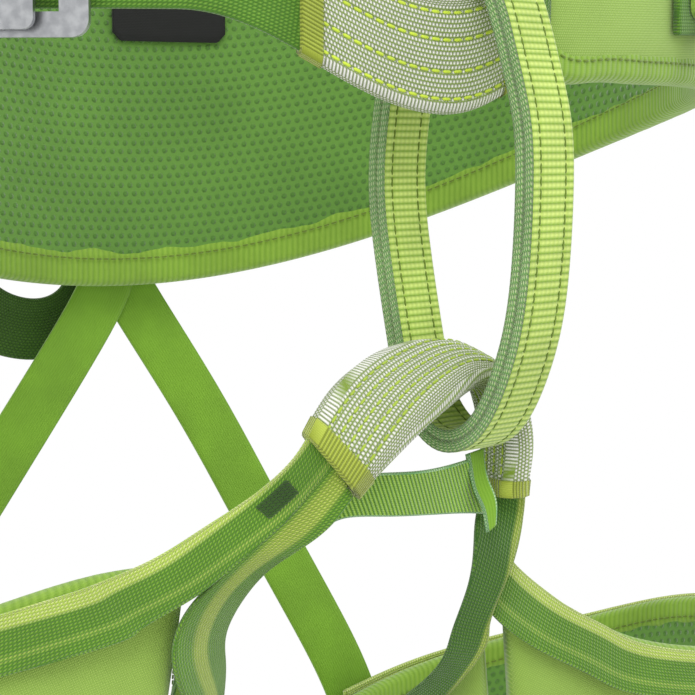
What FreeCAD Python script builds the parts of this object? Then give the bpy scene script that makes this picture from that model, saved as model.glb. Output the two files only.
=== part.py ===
"""Sport climbing harness: padded waist belt, belay loop, leg tie-in bridge and two leg loops.

Millimetres, +Z up. The wearer faces -Y, so +X is the wearer's left. The origin is the centre of
the waist opening. Every soft layer is a ribbon between two edge curves, called rails; the metal,
the gear loops and the stitched tabs are PartDesign bodies.
"""
import FreeCAD, Part
import Sketcher
import math
import os

Vector = FreeCAD.Vector
os.makedirs("parts", exist_ok=True)
doc = FreeCAD.newDocument("climbing_harness")

# ---------------------------------------------------------------- driving dimensions

DIMENSIONS = {
    "waist_half_wide": 136.0,       # belt mid-surface, left to right
    "waist_half_deep": 98.0,        # belt mid-surface, front to back
    "foam_thick": 6.4,
    "skin_thick": 1.4,              # lining or outer shell
    "layer_gap": 0.2,
    "binding_high": 6.0,            # how far an edge binding reaches up the pad
    "binding_gap": 0.6,
    "binding_proud": 0.8,
    "webbing_thick": 1.8,
    "waist_webbing_wide": 25.0,
    "sleeve_wide": 26.5,
    "sleeve_thick": 4.8,
    "belay_wide": 15.0,
    "belay_layer_thick": 2.3,
    "bridge_sleeve_wide": 20.4,
    "bridge_sleeve_thick": 7.2,
    "bridge_core_wide": 17.0,
    "bridge_core_thick": 3.6,
    "leg_foam_thick": 4.4,
    "leg_band_wide": 12.5,
    "leg_band_thick": 1.6,
    "riser_wide": 18.0,
    "riser_thick": 1.6,
    "cross_strap_wide": 14.0,
    "cross_strap_thick": 1.4,
    "buckle_high": 38.0,
    "buckle_long": 34.0,
    "buckle_plate_thick": 2.6,
    "buckle_corner": 4.0,
    "slot_high": 27.0,
    "slot_long": 8.0,
    "slot_apart": 13.0,
    "slider_long": 14.0,
    "slider_high": 35.0,
    "slider_plate_thick": 2.2,
    "slider_corner": 2.5,
    "gear_tube_radius": 3.2,
    "gear_drop": 46.0,
    "gear_bend": 20.0,
    "tab_wide": 13.0,
    "tab_high": 17.0,
    "tab_thick": 3.4,
    "tab_corner": 3.0,
    "haul_wide": 20.0,
    "haul_thick": 1.8,
}

sheet = doc.addObject("Spreadsheet::Sheet", "Sizes")
for row, (alias, value) in enumerate(DIMENSIONS.items(), start=1):
    cell = "A%d" % row
    sheet.set(cell, str(value))
    sheet.setAlias(cell, alias)
doc.recompute()


def size(alias):
    """Return one driving dimension from the sheet."""
    return float(sheet.get(alias))


kept = []


def keep(piece):
    """Note a document object as a node of the harness."""
    kept.append(piece)
    return piece


# ---------------------------------------------------------------- ribbons

def rail(points):
    """Return a smooth curve through the points, with the same parameter step for each."""
    last = len(points) - 1
    curve = Part.BSplineCurve()
    curve.interpolate(Points=points, Parameters=[index / last for index in range(last + 1)])
    return curve


def section(first, second, at, inner, outer, inset_first, inset_second):
    """Return a ribbon's four-cornered section; inner and outer lie along its outward normal."""
    high = first.value(at)
    low = second.value(at)
    across = (high - low).normalize()
    along = first.tangent(at)[0] + second.tangent(at)[0]
    outward = across.cross(along).normalize()
    high = high - across * inset_first
    low = low + across * inset_second
    corners = [high + outward * inner, high + outward * outer]
    corners += [low + outward * outer, low + outward * inner]
    return Part.makePolygon(corners + corners[:1])


def ribbon_shape(rails, inner, outer, span=(0.0, 1.0), inset=(0.0, 0.0), stations=24,
                 ruled=False):
    """Return the solid between two rails and two offsets, over a part of their length."""
    sections = []
    for index in range(stations + 1):
        at = span[0] + (span[1] - span[0]) * index / stations
        sections.append(section(rails[0], rails[1], at, inner, outer, inset[0], inset[1]))
    return Part.makeLoft(sections, True, ruled)


def feature(label, shape):
    """Make a node from a shape."""
    piece = doc.addObject("Part::Feature", label)
    piece.Label = label
    piece.Shape = shape
    piece.Placement = FreeCAD.Placement()
    return keep(piece)


def ribbon(label, rails, inner, outer, **extent):
    """Make a node that is one ribbon."""
    return feature(label, ribbon_shape(rails, inner, outer, **extent))


def tube_ribbon(rails, depth, wall, side_wall, spans, **extent):
    """Return flat hollow sleeves around a webbing, one for each span of the rails."""
    solids = []
    for span in spans:
        reach = (span[0] - 0.02, span[1] + 0.02)
        cover = ribbon_shape(rails, depth[0], depth[1], span=span, **extent)
        inset = (side_wall, side_wall)
        hole = ribbon_shape(rails, depth[0] + wall, depth[1] - wall, span=reach, inset=inset)
        solids.append(cover.cut(hole))
    return solids


# ---------------------------------------------------------------- waist belt

def belt_point(angle, offset, height):
    """Return a point beside the belt's mid-surface; the angle runs from the back to the left."""
    turn = math.radians(angle)
    wide = size("waist_half_wide") + offset
    deep = size("waist_half_deep") + offset
    return Vector(wide * math.sin(turn), deep * math.cos(turn), height)


def front_share(angle):
    """Return 0 at the back of the belt and 1 at its front."""
    return (1.0 - math.cos(math.radians(angle))) / 2.0


BACK_LOW = -94.0
LOW_RISE = 61.0
BACK_HIGH = 14.0
SIDE_RISE = 12.0
PAD_START = -115.0          # wearer's right end of the padding
PAD_END = 174.0             # wearer's left end, beside the tie-in
START_TAPER = 22.0
END_TAPER = 7.0


def pad_edges(angle):
    """Return the padding's upper and lower heights at an angle, narrowed near its two ends."""
    share = front_share(angle)
    low = BACK_LOW + LOW_RISE * (1.0 - (1.0 - share) ** 2.6)
    high = BACK_HIGH + SIDE_RISE * math.sin(math.radians(angle)) ** 2
    reach = min((angle - PAD_START) / START_TAPER, (PAD_END - angle) / END_TAPER, 1.0)
    open_share = 0.62 + 0.38 * math.sin(reach * math.pi / 2.0)
    middle = (high + low) / 2.0
    half = (high - low) / 2.0 * open_share
    return middle + half, middle - half


def spread(start, end, count):
    """Return evenly spaced values from start to end."""
    return [start + (end - start) * index / count for index in range(count + 1)]


pad_angles = spread(PAD_START, PAD_END, 36)
pad_rails = (rail([belt_point(angle, 0.0, pad_edges(angle)[0]) for angle in pad_angles]),
             rail([belt_point(angle, 0.0, pad_edges(angle)[1]) for angle in pad_angles]))

gap = size("layer_gap")
foam_half = size("foam_thick") / 2.0
skin_face = foam_half + gap + size("skin_thick")
inset_edge = size("binding_high") + size("binding_gap")
edge_inset = (inset_edge, inset_edge)
ribbon("belt_foam", pad_rails, -foam_half, foam_half, inset=edge_inset, stations=36)
ribbon("belt_lining", pad_rails, -skin_face, -foam_half - gap, inset=edge_inset, stations=36)
ribbon("belt_shell", pad_rails, foam_half + gap, skin_face, inset=edge_inset, stations=36)


def edge_strip(rails, upper, inner, outer, high, stations, ruled=False):
    """Return a strip of the given height along one rail of a pad."""
    strip = []
    for index in range(stations + 1):
        at = index / stations
        top = rails[0].value(at)
        bottom = rails[1].value(at)
        across = (top - bottom).normalize()
        if upper:
            strip.append((top, top - across * high))
        else:
            strip.append((bottom + across * high, bottom))
    narrow = (rail([pair[0] for pair in strip]), rail([pair[1] for pair in strip]))
    return ribbon_shape(narrow, inner, outer, stations=stations, ruled=ruled)


binding_face = skin_face + size("binding_proud")
binding_high = size("binding_high")
feature("belt_binding_top",
        edge_strip(pad_rails, True, -binding_face, binding_face, binding_high, 36))
feature("belt_binding_bottom",
        edge_strip(pad_rails, False, -binding_face, binding_face, binding_high, 36))

# ---------------------------------------------------------------- waist webbing and tie-in

webbing_floor = binding_face + 0.4
webbing_thick = size("webbing_thick")
webbing_half = size("waist_webbing_wide") / 2.0
webbing_middle = webbing_floor + webbing_thick / 2.0
SLEEVE_ANGLES = (175.2, 197.2)                  # the tie-in sleeve's two ends, from the back
FRONT_HEIGHT = -6.0         # height of the webbing's middle beside the tie-in
DIP = -22.0                 # how far it dips in a smile at the tie-in
DIP_ANGLE = 183.0
DIP_REACH_LEFT = 21.0
DIP_REACH_RIGHT = 26.0
BUCKLE_ANGLE = -136.0
BUCKLE_HEIGHT = FRONT_HEIGHT
WEBBING_END = 150.0                             # the waist webbing's end on the padding
STRAP_START = 171.0                             # the front strap's end on the padding
STRAP_END = 360.0 + BUCKLE_ANGLE - 1.5          # its other end, under the buckle


def webbing_height(angle):
    """Return the height of the waist webbing's middle; it dips in a smile at the tie-in."""
    if PAD_START <= angle <= WEBBING_END:
        high, low = pad_edges(angle)
        return (high + low) / 2.0
    aside = angle % 360.0 - DIP_ANGLE
    reach = DIP_REACH_RIGHT if aside > 0.0 else DIP_REACH_LEFT
    share = min(abs(aside) / reach, 1.0)
    return FRONT_HEIGHT + DIP * math.cos(share * math.pi / 2.0) ** 2


def webbing_rails(start, end, count, half):
    """Return the rails of a belt webbing between two angles."""
    angles = spread(start, end, count)
    high = [belt_point(angle, webbing_middle, webbing_height(angle) + half) for angle in angles]
    low = [belt_point(angle, webbing_middle, webbing_height(angle) - half) for angle in angles]
    return rail(high), rail(low)


half_thick = webbing_thick / 2.0
waist_rails = webbing_rails(BUCKLE_ANGLE + 1.5, WEBBING_END, 40, webbing_half)
ribbon("waist_webbing", waist_rails, -half_thick, half_thick, stations=40)
front_rails = webbing_rails(STRAP_START, STRAP_END, 24, webbing_half)
ribbon("tie_in_webbing", front_rails, -half_thick, half_thick, stations=28)

sleeve_rails = webbing_rails(STRAP_START, STRAP_END, 24, size("sleeve_wide") / 2.0)
sleeve_half = size("sleeve_thick") / 2.0
sleeve_depth = (-sleeve_half, sleeve_half)
sleeve_wall = sleeve_half - half_thick - gap
side_wall = (size("sleeve_wide") - size("waist_webbing_wide")) / 2.0 - gap
FRONT_SPAN = STRAP_END - STRAP_START
sleeve_start = (SLEEVE_ANGLES[0] - STRAP_START) / FRONT_SPAN
sleeve_end = (SLEEVE_ANGLES[1] - STRAP_START) / FRONT_SPAN
END_BINDING = 0.04
sleeve_body = (sleeve_start + END_BINDING, sleeve_end - END_BINDING)
sleeve_parts = tube_ribbon(sleeve_rails, sleeve_depth, sleeve_wall, side_wall, [sleeve_body])
feature("tie_in_sleeve", sleeve_parts[0])
end_spans = [(sleeve_start, sleeve_start + END_BINDING - 0.003),
             (sleeve_end - END_BINDING + 0.003, sleeve_end)]
bindings = tube_ribbon(sleeve_rails, sleeve_depth, sleeve_wall, side_wall, end_spans)
feature("tie_in_end_bindings", Part.makeCompound(bindings))

# ---------------------------------------------------------------- belay loop

FRONT_Y = -104.0
LOOP_YAW = 15.0
BELAY_OUTLINE = [(20.0, -27.0), (24.0, -41.0), (25.2, -57.0), (23.6, -82.0), (18.6, -101.0),
                 (9.4, -115.8), (-4.0, -119.7), (-14.6, -110.9), (-19.6, -96.0),
                 (-24.2, -74.0), (-26.0, -52.0), (-22.0, -26.0), (-16.0, -5.0), (-2.0, 3.0),
                 (12.6, -9.0)]


CURVE_STEPS = 28


def closed_curve(outline_rows, inset):
    """Return a closed smooth curve through the rows moved inwards by the inset."""
    outline = Part.BSplineCurve()
    outline.interpolate(Points=[Vector(out, up, 0.0) for out, up in outline_rows], PeriodicFlag=True)
    if inset == 0.0:
        return outline
    moved = []
    for index in range(CURVE_STEPS):
        at = outline.FirstParameter
        at += (outline.LastParameter - outline.FirstParameter) * index / CURVE_STEPS
        along = outline.tangent(at)[0].normalize()
        inward = Vector(along.y, -along.x, 0.0)
        moved.append(outline.value(at) + inward * inset)
    inner = Part.BSplineCurve()
    inner.interpolate(Points=moved, PeriodicFlag=True)
    return inner


def origin_plane(body, role):
    """Return one of a body's own origin planes."""
    for plane in body.Origin.OriginFeatures:
        if plane.Role == role:
            return plane
    return None


def new_sketch(body, name, role="XY_Plane"):
    """Add a sketch on one of the body's origin planes."""
    sketch = body.newObject("Sketcher::SketchObject", name)
    sketch.AttachmentSupport = [(origin_plane(body, role), "")]
    sketch.MapMode = "FlatFace"
    return sketch


def new_body(label, placement):
    """Add a PartDesign body at a placement."""
    body = doc.addObject("PartDesign::Body", label)
    body.Label = label
    body.Placement = placement
    return keep(body)


def pad_sketch(body, sketch, name, thick_alias, both_ways=False):
    """Pad a sketch by a thickness from the sheet."""
    pad = body.newObject("PartDesign::Pad", name)
    pad.Profile = sketch
    pad.setExpression("Length", "Sizes." + thick_alias)
    if both_ways:
        pad.SideType = "Symmetric"
    body.Tip = pad
    return pad


def frame_placement(origin, along, upward):
    """Return a placement whose local X runs along, and Y upward, at the origin."""
    across = along.cross(upward).normalize()
    matrix = FreeCAD.Matrix(along.x, upward.x, across.x, origin.x,
                            along.y, upward.y, across.y, origin.y,
                            along.z, upward.z, across.z, origin.z)
    return FreeCAD.Placement(matrix)


yaw = math.radians(LOOP_YAW)
loop_forward = Vector(math.sin(yaw), -math.cos(yaw), 0.0)
loop_side = Vector(math.cos(yaw), math.sin(yaw), 0.0)
UP = Vector(0.0, 0.0, 1.0)
loop_place = frame_placement(Vector(0.0, FRONT_Y, 0.0), loop_forward, UP)
layer = size("belay_layer_thick")
for label, start_depth in (("belay_loop_outer", 0.0), ("belay_loop_inner", layer + gap)):
    loop_body = new_body(label, loop_place)
    ring = new_sketch(loop_body, label + "_ring")
    ring.addGeometry(closed_curve(BELAY_OUTLINE, start_depth), False)
    ring.addGeometry(closed_curve(BELAY_OUTLINE, start_depth + layer), False)
    pad_sketch(loop_body, ring, label + "_pad", "belay_wide", both_ways=True)

# ---------------------------------------------------------------- leg tie-in bridge

BRIDGE_REAR = [Vector(-52.0, -111.0, -117.6), Vector(-48.7, -112.0, -111.2),
               Vector(-41.0, -108.5, -103.6), Vector(-29.0, -102.0, -98.4),
               Vector(-17.0, -97.5, -96.2), Vector(-5.6, -94.9, -96.2),
               Vector(6.0, -92.0, -100.4), Vector(11.6, -90.8, -110.0),
               Vector(13.2, -91.5, -121.0), Vector(13.4, -92.4, -131.0),
               Vector(12.4, -92.6, -140.0)]
BRIDGE_FRONT = [Vector(-41.5, -115.6, -133.0), Vector(-37.0, -116.5, -126.1),
                Vector(-29.0, -118.6, -117.6), Vector(-20.0, -118.6, -110.6),
                Vector(-11.0, -116.4, -105.4), Vector(-2.0, -112.6, -102.4),
                Vector(7.4, -109.0, -104.6), Vector(13.4, -107.6, -112.0),
                Vector(14.8, -107.6, -121.0), Vector(14.0, -106.6, -131.0),
                Vector(16.6, -104.0, -141.0)]
bridge_rails = (rail(BRIDGE_REAR), rail(BRIDGE_FRONT))
core_half = size("bridge_core_thick") / 2.0
bridge_half = size("bridge_sleeve_thick") / 2.0
core_inset = (size("bridge_sleeve_wide") - size("bridge_core_wide")) / 2.0
bridge_wall = bridge_half - core_half - gap
BRIDGE_SLEEVE = (0.14, 0.87)
BRIDGE_BINDING = 0.045
ribbon("bridge_webbing", bridge_rails, -core_half, core_half, inset=(core_inset, core_inset),
       span=(0.088, 0.922), stations=40)
bridge_depth = (-bridge_half, bridge_half)
cover = tube_ribbon(bridge_rails, bridge_depth, bridge_wall, core_inset - gap, [BRIDGE_SLEEVE],
                    stations=40)
feature("bridge_sleeve", cover[0])
bridge_ends = [(BRIDGE_SLEEVE[0] - BRIDGE_BINDING, BRIDGE_SLEEVE[0] - 0.003),
               (BRIDGE_SLEEVE[1] + 0.003, BRIDGE_SLEEVE[1] + BRIDGE_BINDING)]
caps = tube_ribbon(bridge_rails, bridge_depth, bridge_wall, core_inset - gap, bridge_ends,
                   stations=6)
feature("bridge_end_bindings", Part.makeCompound(caps))

CROSS_TOP = [Vector(-35.0, -107.6, -122.4), Vector(-24.0, -107.4, -123.0),
             Vector(-12.0, -105.4, -123.6), Vector(0.0, -102.0, -123.0),
             Vector(7.0, -100.0, -122.0)]
cross_wide = size("cross_strap_wide")
cross_high = rail(CROSS_TOP)
cross_low = rail([point + Vector(0.0, 3.0, -cross_wide) for point in CROSS_TOP])
cross_half = size("cross_strap_thick") / 2.0
ribbon("cross_strap", (cross_high, cross_low), -cross_half, cross_half)

# ---------------------------------------------------------------- leg loops

RIGHT_TOP = [(-71, -96.5, -141.5), (-92, -93.5, -142.5), (-120, -89.5, -149), (-152, -74, -160),
             (-176, -40, -176), (-184, 0, -194), (-172, 42, -212), (-144, 72, -226),
             (-108, 82, -233), (-74, 70, -236), (-50, 40, -232), (-40, 4, -222),
             (-42, -32, -206), (-51, -58, -190), (-59, -75, -171), (-62, -84, -162)]
RIGHT_LOW = [(-78, -91, -198), (-104, -91, -210), (-130, -87, -222), (-158, -72, -236),
             (-180, -40, -252), (-186, 0, -268), (-172, 42, -284), (-144, 72, -296),
             (-108, 82, -300), (-74, 70, -298), (-50, 40, -290), (-40, 4, -278),
             (-44, -34, -262), (-54, -60, -242), (-65, -75, -222), (-72, -82, -208)]
LEFT_TOP = [(24, -84, -157), (42, -85.5, -166), (63, -89, -177), (92, -93.5, -182),
            (124, -87, -185), (152, -64, -190), (168, -26, -194), (166, 15, -199),
            (150, 48, -211), (120, 70, -222), (90, 76, -230), (60, 68, -236), (34, 44, -236),
            (18, 10, -230), (12, -24, -218), (13, -52, -198), (18, -72, -178), (20, -80, -166)]
LEFT_LOW = [(30, -82, -216), (48, -86, -227), (70, -90, -236), (94, -95, -244),
            (126, -86, -252), (154, -62, -260), (170, -26, -268), (168, 15, -276),
            (150, 48, -284), (120, 70, -292), (90, 76, -296), (60, 68, -298), (34, 44, -294),
            (18, 10, -284), (13, -24, -270), (16, -52, -252), (23, -70, -234), (28, -76, -222)]

# The stem leaves the bridge and splits: one band runs round the thigh's front and the other drops
# to the inside of the thigh. Each band's free stretch is given by its upper and lower edges.
RIGHT_FRONT = ([(-50.2, -111.6, -114.2), (-60, -107.7, -125.4), (-71, -105.1, -132.1),
                (-81.8, -102.5, -138.2), (-92.9, -100.7, -142.1), (-103.7, -99.5, -144.8)],
               [(-45.6, -113.2, -122), (-53.5, -110.6, -131.2), (-63.5, -107.3, -139.8),
                (-73.5, -104.6, -147.2), (-84.5, -102.4, -152.9), (-95.5, -101.1, -156.6)])
RIGHT_INNER = ([(-40.5, -115.2, -130.2), (-46.5, -112.9, -135.3), (-53, -110.4, -139.6),
                (-58.6, -106.5, -145.5), (-60.4, -97, -156.5), (-57, -88, -166),
                (-51.4, -76, -176)],
               [(-44.8, -113.5, -123), (-52.7, -110.8, -132.2), (-61.1, -107.6, -139.6),
                (-72.4, -103.8, -149.4), (-76, -102.2, -162), (-68, -96, -178),
                (-57, -82, -193)])
LEFT_FRONT = ([(16.4, -91.6, -139), (19.4, -92.8, -149.4), (31.4, -92.1, -159.9),
               (40, -93.1, -165.9), (50.2, -94.5, -171.6), (61.7, -96.5, -177)],
              [(12.6, -88.6, -147), (14.2, -89.6, -160), (22.6, -90.6, -169.6),
               (33.2, -92, -176.6), (45.4, -94, -183.2), (58.6, -96.2, -189.2)])
LEFT_INNER = ([(9.4, -95.2, -137), (6.8, -97.6, -142), (8.4, -93, -154.9), (8.4, -85.4, -169),
               (8.2, -76, -182)],
              [(21, -98.6, -136), (18.6, -98.6, -146), (16, -97, -155.4), (14.8, -92, -167),
               (13.6, -85, -180)])


def points(rows):
    """Turn rows of coordinates into vectors."""
    return [Vector(*row) for row in rows]


leg_foam_half = size("leg_foam_thick") / 2.0
leg_skin_face = leg_foam_half + gap + size("skin_thick")
leg_binding_face = leg_skin_face + size("binding_proud")
band_wide = size("leg_band_wide")
band_thick = size("leg_band_thick")
band_offset = leg_binding_face + gap + band_thick / 2.0 + 0.2


def outside_pair(rails, at, sign, drop):
    """Return the two edges of a band outside a pad, drop below the pad's upper rail."""
    high = rails[0].value(at)
    low = rails[1].value(at)
    across = (high - low).normalize()
    along = rails[0].tangent(at)[0] + rails[1].tangent(at)[0]
    outward = across.cross(along).normalize() * sign
    edge = high - across * drop + outward * band_offset
    return edge, edge - across * band_wide


def leg_band(label, rails, sign, free, steps, lower=False):
    """Make a band that starts with a free stretch and follows a pad's upper or lower rail."""
    first = points(free[0])
    second = points(free[1])
    for at in steps:
        drop = 0.0
        if lower:
            drop = (rails[0].value(at) - rails[1].value(at)).Length - band_wide
        high, low = outside_pair(rails, at, sign, drop)
        first.append(high)
        second.append(low)
    half = band_thick / 2.0
    ribbon(label, (rail(first), rail(second)), -half, half, stations=40)


LEG_STATIONS = 34


def leg_loop(side, sign, top_rows, low_rows, front, inside):
    """Make one leg loop's pad layers, bindings and bands; the sign points outwards."""
    rails = (rail(points(top_rows)), rail(points(low_rows)))
    layers = {"foam": (-leg_foam_half, leg_foam_half),
              "lining": (-leg_skin_face, -leg_foam_half - gap),
              "shell": (leg_foam_half + gap, leg_skin_face)}
    for name, (near, far) in layers.items():
        low_side, high_side = sorted((near * sign, far * sign))
        ribbon("%s_leg_%s" % (side, name), rails, low_side, high_side, inset=edge_inset,
               stations=LEG_STATIONS, ruled=True)
    for upper, name in ((True, "_leg_binding_top"), (False, "_leg_binding_bottom")):
        strip = edge_strip(rails, upper, -leg_binding_face, leg_binding_face, binding_high,
                           LEG_STATIONS, ruled=True)
        feature(side + name, strip)
    leg_band(side + "_leg_band_front", rails, sign, front, spread(0.17, 0.62, 9))
    leg_band(side + "_leg_band_inner", rails, sign, inside, spread(0.87, 0.66, 4))
    leg_band(side + "_leg_band_bottom", rails, sign, ((), ()), spread(0.02, 0.98, 20), lower=True)


leg_loop("right", 1.0, RIGHT_TOP, RIGHT_LOW, RIGHT_FRONT, RIGHT_INNER)
leg_loop("left", -1.0, LEFT_TOP, LEFT_LOW, LEFT_FRONT, LEFT_INNER)

# ---------------------------------------------------------------- elastic risers

RIGHT_RISER = [(-2, 106.4, -84), (-3, 105.8, -94), (-16, 103.4, -114), (-40, 99.4, -146),
               (-80, 95, -200), (-110, 92.4, -240)]
LEFT_RISER = [(4, 109.2, -84), (5, 108.4, -94), (27, 101.4, -133), (50, 94.4, -178),
              (70, 87.6, -218), (79, 85, -240)]
riser_half = size("riser_thick") / 2.0


def strap_rails(rows, wide, facing):
    """Return the rails of a strap along a middle line, lying square to the facing direction."""
    middle = points(rows)
    line = rail(middle)
    last = len(middle) - 1
    first_edge = []
    second_edge = []
    for index, point in enumerate(middle):
        along = line.tangent(index / last)[0].normalize()
        across = along.cross(facing).normalize()
        first_edge.append(point + across * (wide / 2.0))
        second_edge.append(point - across * (wide / 2.0))
    return rail(first_edge), rail(second_edge)


BACKWARD = Vector(0.0, 1.0, 0.0)
for label, rows in (("right_riser", RIGHT_RISER), ("left_riser", LEFT_RISER)):
    rails = strap_rails(rows, size("riser_wide"), BACKWARD)
    ribbon(label, rails, -riser_half, riser_half)

# ---------------------------------------------------------------- haul loop

HAUL_LINE = [(1, 112.4, -88), (-8, 112.6, -102), (-22, 112.6, -108), (-38, 111.4, -105),
             (-51, 108.4, -95), (-59, 105.6, -82)]
haul_half = size("haul_thick") / 2.0
haul_rails = strap_rails(HAUL_LINE, size("haul_wide"), BACKWARD)
ribbon("haul_loop", haul_rails, -haul_half, haul_half)

# ---------------------------------------------------------------- label

LABEL_HIGH = 6.5
LABEL_LOW = -16.0
LABEL_ANGLES = (-2.4, 14.3)
label_angles = spread(LABEL_ANGLES[0], LABEL_ANGLES[1], 6)
label_rails = (rail([belt_point(angle, 0.0, LABEL_HIGH) for angle in label_angles]),
               rail([belt_point(angle, 0.0, LABEL_LOW) for angle in label_angles]))
label_near = skin_face + 0.2
ribbon("label_patch", label_rails, -label_near - 0.8, -label_near, stations=6)

# ---------------------------------------------------------------- plates and tabs


def rectangle(sketch, wide, high, middle_x, names):
    """Add a rectangle centred at middle_x; names hold the aliases of its two sizes."""
    left = middle_x - wide / 2.0
    right = middle_x + wide / 2.0
    corners = [Vector(left, -high / 2.0, 0), Vector(right, -high / 2.0, 0),
               Vector(right, high / 2.0, 0), Vector(left, high / 2.0, 0)]
    first = sketch.GeometryCount
    for index in range(4):
        sketch.addGeometry(Part.LineSegment(corners[index], corners[(index + 1) % 4]), False)
    for index in range(4):
        following = first + (index + 1) % 4
        sketch.addConstraint(Sketcher.Constraint("Coincident", first + index, 2, following, 1))
    for index, kind in enumerate(("Horizontal", "Vertical", "Horizontal", "Vertical")):
        sketch.addConstraint(Sketcher.Constraint(kind, first + index))
    spans = [("DistanceX", first, 1, first, 2, wide), ("DistanceY", first + 1, 1, first + 1, 2, high)]
    for alias, (kind, one, end_one, two, end_two, value) in zip(names, spans):
        number = sketch.addConstraint(Sketcher.Constraint(kind, one, end_one, two, end_two, value))
        sketch.setExpression("Constraints[%d]" % number, "Sizes." + alias)
    sketch.addConstraint(Sketcher.Constraint("DistanceX", -1, 1, first, 1, left))
    sketch.addConstraint(Sketcher.Constraint("DistanceY", -1, 1, first, 1, -high / 2.0))


def round_corners(body, base, alias, reach):
    """Fillet the edges that stand square to the plate, further out than reach."""
    doc.recompute()
    names = []
    for number, edge in enumerate(base.Shape.Edges, start=1):
        start = edge.Vertexes[0].Point
        end = edge.Vertexes[-1].Point
        upright = abs(start.x - end.x) < 0.01 and abs(start.y - end.y) < 0.01
        if upright and abs(start.x) > reach:
            names.append("Edge%d" % number)
    fillet = body.newObject("PartDesign::Fillet", body.Label + "_corners")
    fillet.Base = (base, names)
    fillet.setExpression("Radius", "Sizes." + alias)
    body.Tip = fillet


def plate(label, placement, wide_alias, high_alias, thick_alias, corner_alias, slots=()):
    """Make a rounded plate with upright slots, a PartDesign body."""
    body = new_body(label, placement)
    outline = new_sketch(body, label + "_outline")
    wide = size(wide_alias)
    rectangle(outline, wide, size(high_alias), 0.0, (wide_alias, high_alias))
    for middle_x, slot_wide, slot_high in slots:
        rectangle(outline, size(slot_wide), size(slot_high), middle_x, (slot_wide, slot_high))
    pad = pad_sketch(body, outline, label + "_plate", thick_alias)
    round_corners(body, pad, corner_alias, wide / 2.0 - 0.1)
    return body


def belt_place(angle, offset, height, tilt=0.0):
    """Return a placement on the belt: local X along it, Y up and Z towards the outside."""
    turn = math.radians(angle)
    wide = size("waist_half_wide")
    deep = size("waist_half_deep")
    along = Vector(-wide * math.cos(turn), deep * math.sin(turn), 0.0).normalize()
    place = frame_placement(belt_point(angle, offset, height), along, UP)
    return place.multiply(FreeCAD.Placement(Vector(), FreeCAD.Rotation(Vector(1, 0, 0), tilt)))


buckle_floor = webbing_floor + webbing_thick + 2.6
buckle_slots = [(-size("slot_apart") / 2.0, "slot_long", "slot_high"),
                (size("slot_apart") / 2.0, "slot_long", "slot_high")]
plate("buckle_frame", belt_place(BUCKLE_ANGLE, buckle_floor, BUCKLE_HEIGHT), "buckle_long",
      "buckle_high", "buckle_plate_thick", "buckle_corner", buckle_slots)
slider_floor = buckle_floor + size("buckle_plate_thick") + webbing_thick + 1.4
plate("buckle_slider", belt_place(BUCKLE_ANGLE, slider_floor, BUCKLE_HEIGHT), "slider_long",
      "slider_high", "slider_plate_thick", "slider_corner")

GEAR_LOOPS = {"front_left_gear_loop": (103.0, 145.0), "rear_left_gear_loop": (36.0, 66.0),
              "front_right_gear_loop": (-71.0, -100.0), "rear_right_gear_loop": (-34.0, -60.0)}
REAR_HIGHER = 22.0          # the rear gear loops hang this much higher on the belt
GEAR_TILT = 16.0
TAB_OFFSET = webbing_floor + webbing_thick + 0.4
GEAR_OFFSET = TAB_OFFSET + 3.5


def gear_height(label, angle):
    """Return the height of a gear loop's upper end."""
    higher = REAR_HIGHER if label.startswith("rear") else 0.0
    return webbing_height(angle) - webbing_half + 3.0 + higher


def gear_ends(label, ends):
    """Return a gear loop's two upper ends."""
    return [belt_point(angle, GEAR_OFFSET, gear_height(label, angle)) for angle in ends]


def gear_loop(label, ends):
    """Make a gear loop: a bent tube that hangs from two tabs and leans outwards."""
    one, two = gear_ends(label, ends)
    along = (two - one).normalize()
    middle = (one + two) / 2.0
    outside = Vector(middle.x, middle.y, 0.0).normalize()
    if along.cross(UP).dot(outside) < 0:
        along = along * -1.0
    lean = math.radians(GEAR_TILT)
    flat_out = along.cross(UP).normalize()
    upward = along.cross(flat_out).normalize() * -1.0
    upward = upward * math.cos(lean) - flat_out * math.sin(lean)
    body = new_body(label, frame_placement(middle, along, upward))
    half = (two - one).Length / 2.0
    drop = size("gear_drop")
    bend = size("gear_bend")
    spine = new_sketch(body, label + "_spine")
    knee = drop - bend
    spine.addGeometry(Part.LineSegment(Vector(-half, 0, 0), Vector(-half, -knee, 0)), False)
    left_arc = Part.Arc(Vector(-half, -knee, 0),
                        Vector(-half + bend * (1 - math.cos(math.pi / 4)),
                               -knee - bend * math.sin(math.pi / 4), 0),
                        Vector(-half + bend, -drop, 0))
    spine.addGeometry(left_arc, False)
    spine.addGeometry(Part.LineSegment(Vector(-half + bend, -drop, 0),
                                       Vector(half - bend, -drop, 0)), False)
    right_arc = Part.Arc(Vector(half - bend, -drop, 0),
                         Vector(half - bend * (1 - math.cos(math.pi / 4)),
                                -knee - bend * math.sin(math.pi / 4), 0),
                         Vector(half, -knee, 0))
    spine.addGeometry(right_arc, False)
    spine.addGeometry(Part.LineSegment(Vector(half, -knee, 0), Vector(half, 0, 0)), False)
    ring = new_sketch(body, label + "_section", "XZ_Plane")
    circle = Part.Circle(Vector(-half, 0, 0), Vector(0, 0, 1), size("gear_tube_radius"))
    ring.addGeometry(circle, False)
    number = ring.addConstraint(Sketcher.Constraint("Radius", 0, size("gear_tube_radius")))
    ring.setExpression("Constraints[%d]" % number, "Sizes.gear_tube_radius")
    doc.recompute()
    pipe = body.newObject("PartDesign::AdditivePipe", label + "_tube")
    pipe.Profile = ring
    pipe.Spine = spine
    body.Tip = pipe
    return one, two, outside


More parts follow.
